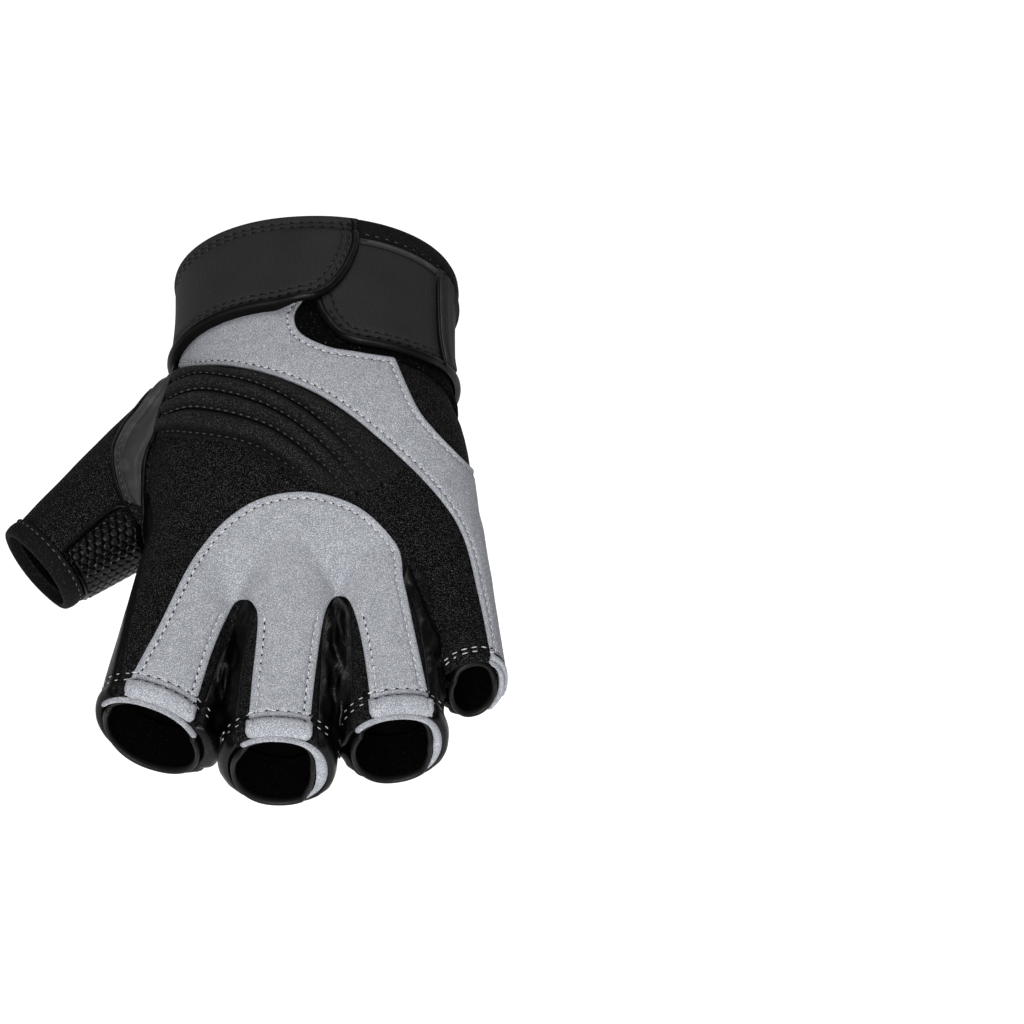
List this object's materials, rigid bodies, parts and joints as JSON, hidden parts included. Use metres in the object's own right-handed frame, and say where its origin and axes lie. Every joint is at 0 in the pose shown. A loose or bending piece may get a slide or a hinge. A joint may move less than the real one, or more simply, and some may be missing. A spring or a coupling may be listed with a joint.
{
  "type": "fitness glove",
  "caption": "Left-hand fingerless training glove in its worn shape, with a suede knuckle overlay, ribbed pad, thumb grip patch and wrap-over wrist strap",
  "frame": {"origin": "centre of the wrist opening", "axes": "+X towards the little finger, +Y out of the wrist opening towards the forearm, +Z out of the back of the hand"},
  "size_m": [0.1369, 0.172, 0.0608],
  "materials": {
    "fleece": "matte brushed fleece",
    "suede": "matte grey suede",
    "leather": "soft satin leather",
    "embossed_leather": "embossed, semi-gloss",
    "webbing": "fine dense weave, satin",
    "loop_fabric": "fuzzy loop fabric",
    "lining": "matte"
  },
  "bodies": {
    "root": {"back_panel": "fleece", "thumb_sleeve": "fleece", "quilted_pad": "fleece", "knuckle_overlay": "suede", "side_overlay": "suede", "index_edge_trim": "suede", "middle_edge_trim": "suede", "ring_edge_trim": "suede", "palm_panel": "leather", "index_middle_gusset": "leather", "middle_ring_gusset": "leather", "ring_little_gusset": "leather", "thumb_gusset": "leather", "thumb_grip_patch": "embossed_leather", "cuff_hem": "webbing", "wrist_strap_long": "webbing", "wrist_strap_short": "webbing", "strap_end_bar": "webbing", "cuff_band": "loop_fabric", "index_lining": "lining", "middle_lining": "lining", "ring_lining": "lining", "little_lining": "lining", "thumb_lining": "lining"}
  },
  "joints": []
}
